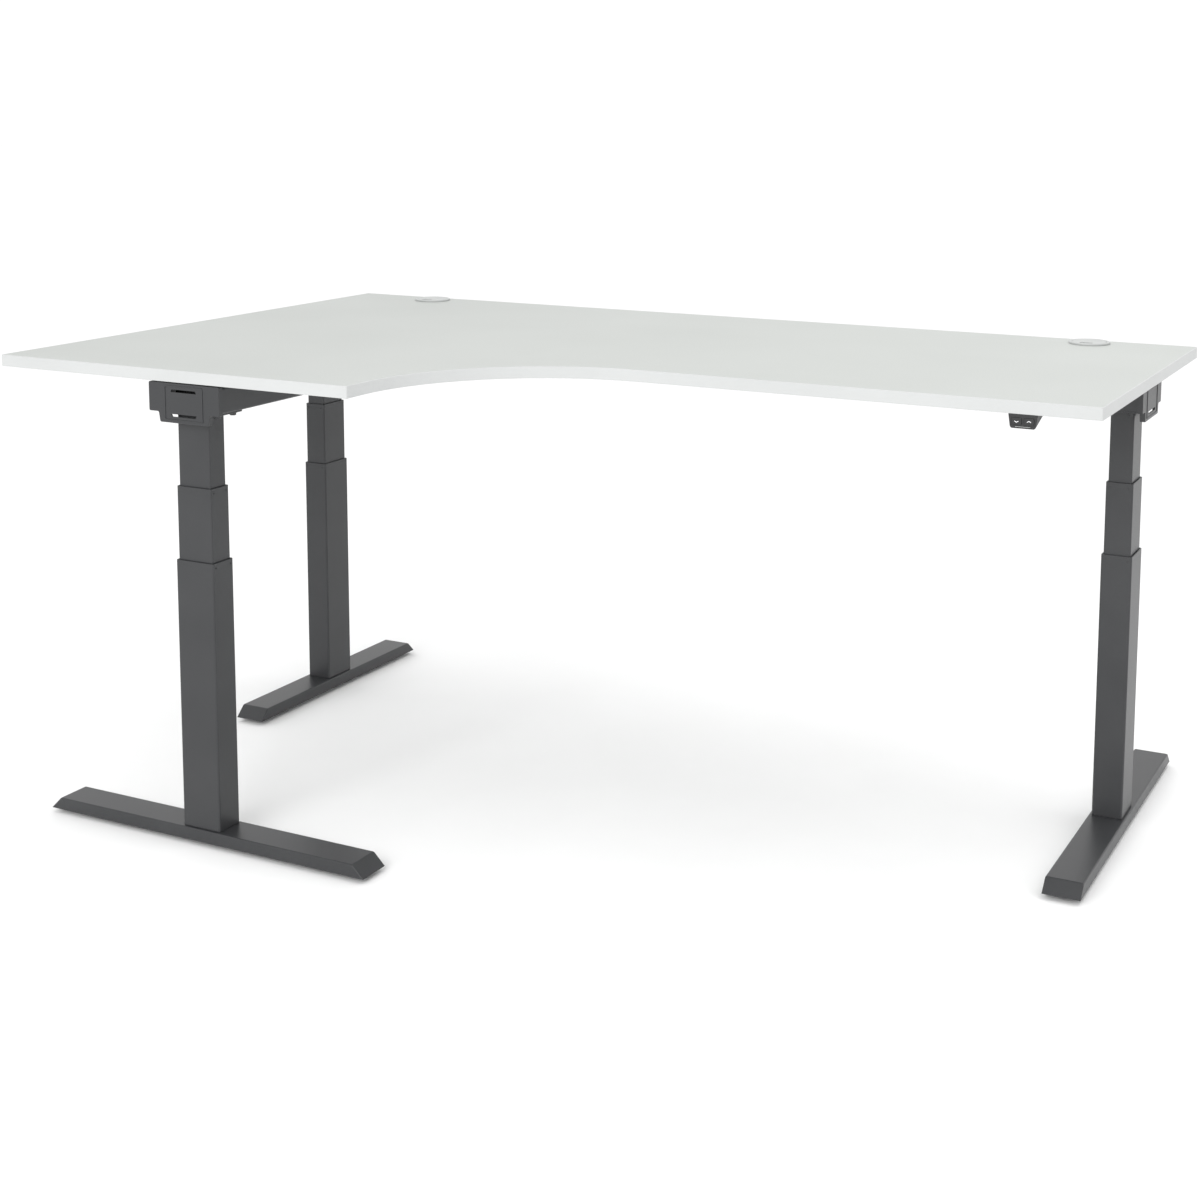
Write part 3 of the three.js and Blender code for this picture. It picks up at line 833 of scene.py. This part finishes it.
def roundedPlate(low, high):
    bm = bmesh.new()
    verts = addBlock(bm, low, high)
    roundEdges(bm, [e for e in linkedEdges(verts) if runsAlong(e, 2)], plate["round"], 6)
    roundEdges(bm, edgesAt(bm, 2, low[2]) + edgesAt(bm, 2, high[2]), plate["rim"], 2)
    return bm


def makeHeadPlate(leg):
    p = plate
    low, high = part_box("head_plate_front")
    half = (high - low) / 2
    bm = roundedPlate((-half.x, -half.y, low.z), (half.x, half.y, high.z))
    bore = bmesh.new()
    bmesh.ops.create_cone(
        bore, cap_ends=True, segments=48, radius1=p["bore"], radius2=p["bore"],
        depth=p["boreDepth"], matrix=Matrix.Translation((0, 0, low.z)),
    )
    bm = cutAway(bm, bore)
    outX, outY = half.x - p["boltInset"][0], half.y - p["boltInset"][1]
    headZ = low.z - p["boltHeight"] / 2 - p["washerGap"]
    for x in (-outX, outX):
        for y in (-outY, outY):
            addHexHead(bm, Vector((x, y, headZ)), p["boltWidth"], p["boltHeight"], p["washer"])
    finishPiece(bm, "headPlate-" + leg, "desk_top", powderCoat,
                ["head_plate_" + leg], legPlace(leg))


def makeJointPlate():
    p = plate
    low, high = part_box("joint_plate")
    bm = roundedPlate(low, high)
    middle = (low + high) / 2
    for x in p["jointBoltsX"]:
        for y in p["jointBoltsY"]:
            place = Vector((middle.x + x, middle.y + y, low.z - p["jointBoltDrop"]))
            addHexHead(bm, place, p["boltWidth"], p["jointBoltHeight"])
    finishPiece(bm, "jointPlate", "desk_top", powderCoat, ["joint_plate"])


gearbox = {
    "inset": 0.0012,
    "round": 0.005,
    "rim": 0.0016,
    "flange": 0.004,
    "ribs": 5,
    "ribWidth": 0.002,
    "ribPitch": 0.013,
    "ribShort": 0.003,  # how far a rib stops from the housing's top and bottom
}


def makeGearbox(leg):
    g = gearbox
    low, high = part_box("gearbox_front")
    half = (high - low) / 2
    bm = bmesh.new()
    inner = half - Vector((g["inset"], g["inset"], 0))
    verts = addBlock(bm, (-inner.x, -inner.y, low.z), (inner.x, inner.y, high.z))
    roundEdges(bm, [e for e in linkedEdges(verts) if runsAlong(e, 2)], g["round"], 6)
    roundEdges(bm, edgesAt(bm, 2, high.z), g["rim"], 3)
    middle = (low.z + high.z) / 2
    flange = bmesh.new()
    verts = addBlock(flange, (-half.x, -half.y, middle - g["flange"] / 2),
                     (half.x, half.y, middle + g["flange"] / 2))
    roundEdges(flange, [e for e in linkedEdges(verts) if runsAlong(e, 2)], g["round"] + g["inset"], 6)
    absorb(bm, flange)
    for n in range(g["ribs"]):
        x = (n - (g["ribs"] - 1) / 2) * g["ribPitch"]
        addBlock(bm, (x - g["ribWidth"] / 2, -half.y, low.z + g["ribShort"]),
                 (x + g["ribWidth"] / 2, half.y, high.z - g["ribShort"]))
    finishPiece(bm, "gearbox-" + leg, "desk_top", darkPlastic,
                ["gearbox_" + leg], legPlace(leg))


motor = {
    "radius": 0.019,
    "groove": 0.0008,
    "boss": 0.009,
    "bossLength": 0.006,
    "shaft": 0.004,
    "shaftProud": 0.0005,
    "bell": 0.012,
    "ease": 0.001,
    "shellEase": 0.002,
    "steps": 64,
}


def makeMotor(leg):
    m = motor
    low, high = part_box("motor_front")
    boxLow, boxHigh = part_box("gearbox_front")
    axisY = (boxLow.y + boxHigh.y) / 2
    start, end = low.y - axisY, high.y - axisY
    shell = end - m["bossLength"]
    r, g, bell, boss, ease = m["radius"], m["groove"], m["bell"], m["boss"], m["ease"]
    bossEnd = end - m["shaftProud"]
    bm = bmesh.new()
    addTurned(bm, [
        (0, start), (r - ease, start), (r, start + ease), (r, start + bell),
        (r - g, start + bell + g), (r - g, shell - bell - g), (r, shell - bell),
        (r, shell - m["shellEase"]), (r - m["shellEase"], shell), (boss + ease, shell), (boss, shell + ease),
        (boss, bossEnd - ease), (boss - ease, bossEnd), (m["shaft"], bossEnd), (m["shaft"], end), (0, end),
    ], m["steps"])
    turn = Matrix.Translation((0, 0, (low.z + high.z) / 2)) @ Matrix.Rotation(-math.pi / 2, 4, "X")
    finishPiece(bm, "motor-" + leg, "desk_top", zincSteel,
                ["motor_" + leg], legPlace(leg) @ turn)


for leg in legTurns:
    makeEndCap(leg)
    makeHeadPlate(leg)
    makeGearbox(leg)
    makeMotor(leg)
makeJointPlate()
print("end caps and drives made")


control = {
    "corner": 0.005,
    "rim": 0.0014,
    "seam": 0.0008,
    "seamFromTop": 0.009,
    "seamReach": 0.004,  # how far the seam's cutter stands out
    "seamDepth": 0.0007,
    "inlet": (0.014, 0.028, 0.020),  # depth, width, height
    "inletRound": 0.003,
    "pin": (0.0022, 0.005),  # width and height
    "pinBack": 0.001,  # behind the inlet's floor
    "pinFront": 0.003,  # behind the box's face
    "pinPlaces": ((-0.007, 0), (0, 0.002), (0.007, 0)),
    "sockets": 5,
    "socket": (0.016, 0.007, 0.011),  # width, depth, height
    "socketFrom": 0.045,
    "socketDrop": 0.002,
    "socketPitch": 0.027,
    "vents": 9,
    "vent": (0.0022, 0.030, 0.003),  # width, length, depth
    "ventFrom": 0.030,
    "ventPitch": 0.007,
    "screw": 0.0035,
    "screwHeight": 0.0012,
    "screwDrop": 0.0002,
    "screwInset": 0.012,
}


def makeControlBox():
    c = control
    low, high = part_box("control_box")
    middle = (low + high) / 2
    bm = bmesh.new()
    verts = addBlock(bm, low, high)
    roundEdges(bm, [e for e in linkedEdges(verts) if runsAlong(e, 2)], c["corner"], 6)
    roundEdges(bm, edgesAt(bm, 2, low.z) + edgesAt(bm, 2, high.z), c["rim"], 3)
    cuts = bmesh.new()
    deep, wide, tall = c["inlet"]
    verts = addBlock(cuts, (low.x - overCut, middle.y - wide / 2, middle.z - tall / 2),
                     (low.x + deep, middle.y + wide / 2, middle.z + tall / 2))
    roundEdges(cuts, [e for e in linkedEdges(verts) if runsAlong(e, 0)], c["inletRound"], 4)
    wide, deep, tall = c["socket"]
    z = middle.z - c["socketDrop"]
    for n in range(c["sockets"]):
        x = low.x + c["socketFrom"] + n * c["socketPitch"]
        addBlock(cuts, (x - wide / 2, low.y - overCut, z - tall / 2),
                 (x + wide / 2, low.y + deep, z + tall / 2))
    wide, long, deep = c["vent"]
    for n in range(c["vents"]):
        x = high.x - c["ventFrom"] - n * c["ventPitch"]
        addBlock(cuts, (x - wide / 2, middle.y - long / 2, low.z - overCut),
                 (x + wide / 2, middle.y + long / 2, low.z + deep))
    bm = cutAway(bm, cuts)
    groove = bmesh.new()
    reach = c["seamReach"]
    z = high.z - c["seamFromTop"]
    verts = addBlock(groove, (low.x - reach, low.y - reach, z),
                     (high.x + reach, high.y + reach, z + c["seam"]))
    roundEdges(groove, [e for e in linkedEdges(verts) if runsAlong(e, 2)], c["corner"] + reach, 6)
    boreThrough(groove, 2, (z, z + c["seam"]), reach + c["seamDepth"])
    bm = cutAway(bm, groove)
    thin, tall = c["pin"]
    back = low.x + c["inlet"][0] + c["pinBack"]
    for y, z in c["pinPlaces"]:
        addBlock(bm, (low.x + c["pinFront"], middle.y + y - thin / 2, middle.z + z - tall / 2),
                 (back, middle.y + y + thin / 2, middle.z + z + tall / 2))
    inset = c["screwInset"]
    for x in (low.x + inset, high.x - inset):
        for y in (low.y + inset, high.y - inset):
            addHexHead(bm, Vector((x, y, low.z - c["screwDrop"])), 2 * c["screw"], c["screwHeight"])
    finishPiece(bm, "controlBox", "desk_top", darkPlastic, ["control_box"])


switch = {
    "taper": 0.86,  # lower edge's width against the upper one
    "backHeight": 0.004,
    "lowerRound": 0.005,
    "lowerFrom": 0.001,  # the underside's side edges lie at least this far below the top
    "lowerRun": 0.01,  # and run at least this far from front to back
    "edgeAngle": 0.7,  # radians; edges that bend by more are rounded
    "edgeRound": 0.0007,
    "edgeWeld": 3e-5,
    "pocketDepth": 0.009,
    "pocketGap": 0.0003,
    "buttonRound": 0.0025,
    "buttonEdge": 0.0007,
    "arrow": (0.0034, 0.0020, 0.0011),  # half width, rise and stroke
    "arrowProud": 0.00008,
    "arrowDepth": 0.0003,
    # line: length and thickness of a light grey strip that is a painted highlight along the front face's
    # lower edge
    "line": (0.026, 0.0006),
    "paintedHighlightFromBottom": 0.0030,
    "paintedHighlightDepth": 0.0005,
    "paintedHighlightRound": 0.4,  # against its thickness
}
# a profile drawn in X and Y then stands in Y and Z, with its thickness along X
layAlongX = Matrix(((0, 0, 1, 0), (1, 0, 0, 0), (0, 1, 0, 0), (0, 0, 0, 1)))


def makeHousing():
    s = switch
    low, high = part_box("switch_housing")
    middle = (low.x + high.x) / 2
    tail = high.z - s["backHeight"]
    bm = bmesh.new()
    profile = [(low.y, high.z), (low.y, low.z), (high.y, tail), (high.y, high.z)]
    verts = addPrism(bm, profile, low.x, high.x)
    bmesh.ops.transform(bm, matrix=layAlongX, verts=verts)
    for vert in bm.verts:
        depth = (high.z - vert.co.z) / (high.z - low.z)
        vert.co.x = middle + (vert.co.x - middle) * (1 - depth * (1 - s["taper"]))
    keel = [
        edge for edge in bm.edges
        if all(v.co.z < high.z - s["lowerFrom"] for v in edge.verts)
        and abs(edge.verts[0].co.y - edge.verts[1].co.y) > s["lowerRun"]
    ]
    roundEdges(bm, keel, s["lowerRound"], 8)
    bm.normal_update()
    roundEdges(bm, [e for e in bm.edges if e.calc_face_angle(0) > s["edgeAngle"]], s["edgeRound"], 2)
    bmesh.ops.remove_doubles(bm, verts=bm.verts, dist=s["edgeWeld"])
    bmesh.ops.dissolve_degenerate(bm, edges=bm.edges, dist=cutWeld)
    pockets = bmesh.new()
    for side in ("down", "up"):
        buttonLow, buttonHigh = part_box("button_" + side)
        g = s["pocketGap"]
        verts = addBlock(pockets, (buttonLow.x - g, low.y - overCut, buttonLow.z - g),
                         (buttonHigh.x + g, low.y + s["pocketDepth"], buttonHigh.z + g))
        roundEdges(pockets, [e for e in linkedEdges(verts) if runsAlong(e, 1)], s["buttonRound"] + g, 6)
    bm = cutAway(bm, pockets)
    finishPiece(bm, "switchHousing", "desk_top", darkPlastic, ["switch_housing"])

    # a light grey strip just above the housing's lower front edge: a painted highlight of that edge
    length, thick = s["line"]
    z = low.z + s["paintedHighlightFromBottom"]
    bm = bmesh.new()
    verts = addBlock(bm, (middle - length / 2, low.y - s["arrowProud"], z - thick / 2),
                     (middle + length / 2, low.y + s["paintedHighlightDepth"], z + thick / 2))
    roundEdges(bm, [e for e in linkedEdges(verts) if runsAlong(e, 1)], thick * s["paintedHighlightRound"], 3)
    finishPiece(bm, "switchPaintedHighlight", "desk_top", greyPlastic)


def makeButton(side):
    s = switch
    low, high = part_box("button_" + side)
    bm = bmesh.new()
    verts = addBlock(bm, low, high)
    roundEdges(bm, [e for e in linkedEdges(verts) if runsAlong(e, 1)], s["buttonRound"], 8)
    roundEdges(bm, edgesAt(bm, 1, low.y), s["buttonEdge"], 3)
    finishPiece(bm, "button-" + side, "button_" + side, darkPlastic, ["button_" + side])

    half, rise, stroke = s["arrow"]
    way = 1 if side == "up" else -1
    x, z = (low.x + high.x) / 2, (low.z + high.z) / 2
    peak, base = z + way * rise / 2, z - way * rise / 2
    bm = bmesh.new()
    verts = addPrism(bm, [
        (x - half, base), (x, peak), (x + half, base),
        (x + half, base + way * stroke), (x, peak + way * stroke), (x - half, base + way * stroke),
    ], -low.y - s["arrowDepth"], -low.y + s["arrowProud"])
    bmesh.ops.transform(bm, matrix=standUp, verts=verts)
    finishPiece(bm, "arrow-" + side, "button_" + side, whitePrint)


makeControlBox()
makeHousing()
for side in ("down", "up"):
    makeButton(side)
print("controls made")


# start of a CAD node's name, for the nodes that stay as they are: finish and slot
kept = {
    "spindle_": (zincSteel, "zinc_steel"),
    "nut_tube_": (zincSteel, "zinc_steel"),
    "beam_pad_": (padRubber, "pad_rubber"),
}
for nodeName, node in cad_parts.items():
    for start, (finish, slotName) in kept.items():
        if nodeName.startswith(start):
            node.data.materials.clear()
            node.data.materials.append(finish.material)


view = {
    "position": (1.6798, -3.2299, 1.4158),
    "yaw": 0.4671,
    "pitch": 0.1310,
    "roll": 0.0041,
    "lens": 56.1,
    "shift": (-0.038, -0.225),
    "clipEnd": 100,
}


def makeCamera():
    yaw, pitch, roll = view["yaw"], view["pitch"], view["roll"]
    ahead = Vector((-math.sin(yaw) * math.cos(pitch), math.cos(yaw) * math.cos(pitch), -math.sin(pitch)))
    right = Vector((math.cos(yaw), math.sin(yaw), 0))
    up = right.cross(ahead)
    tiltedRight = right * math.cos(roll) + up * math.sin(roll)
    tiltedUp = up * math.cos(roll) - right * math.sin(roll)
    turn = Matrix((tiltedRight, tiltedUp, -ahead)).transposed().to_4x4()
    camera = bpy.data.objects.new("camera", bpy.data.cameras.new("camera"))
    camera.data.lens = view["lens"]
    camera.data.shift_x, camera.data.shift_y = view["shift"]
    camera.data.clip_end = view["clipEnd"]
    camera.matrix_world = Matrix.Translation(view["position"]) @ turn
    bpy.context.scene.collection.objects.link(camera)
    bpy.context.scene.camera = camera


floorReach = 30


def makeFloor():
    bm = bmesh.new()
    bmesh.ops.create_grid(bm, x_segments=8, y_segments=8, size=floorReach)
    floor = meshObject(bm, "floor")
    f = Finish("paleFloor", specularIorLevel=0.2)
    drift = f.span(f.noise(3.0, 3.0), 0.3, 0.7)
    f.set("baseColor", f.blendColor(drift, (0.92, 0.92, 0.92), (0.94, 0.94, 0.94)))
    f.set("roughness", f.span(f.noise(40.0, 2.0), 0.3, 0.7, 0.7, 0.8))
    floor.data.materials.append(f.material)


skyStrength = 1.1
softboxes = {
    "frontSoft": {"at": (0.3, -6.0, 3.4), "aim": (0, -0.2, 0.5), "size": (4.0, 2.4), "power": 190},
    "topRight": {"at": (1.4, 0.6, 3.0), "aim": (1.2, 0.5, 0.9), "size": (2.0, 2.0), "power": 18},
}


def makeLight(name, box):
    light = bpy.data.objects.new(name, bpy.data.lights.new(name, "AREA"))
    light.data.shape = "RECTANGLE"
    light.data.size, light.data.size_y = box["size"]
    light.data.energy = box["power"]
    aim = Vector(box["aim"]) - Vector(box["at"])
    light.matrix_world = Matrix.Translation(box["at"]) @ aim.to_track_quat("-Z", "Y").to_matrix().to_4x4()
    bpy.context.scene.collection.objects.link(light)


makeCamera()
makeFloor()
for name, box in softboxes.items():
    makeLight(name, box)
bpy.context.scene.view_settings.view_transform = "Standard"
world = bpy.data.worlds.new("studio")
world.use_nodes = True
sky = world.node_tree.nodes["Background"].inputs
sky["Color"].default_value = (1, 1, 1, 1)
sky["Strength"].default_value = skyStrength
bpy.context.scene.world = world
print("studio made")
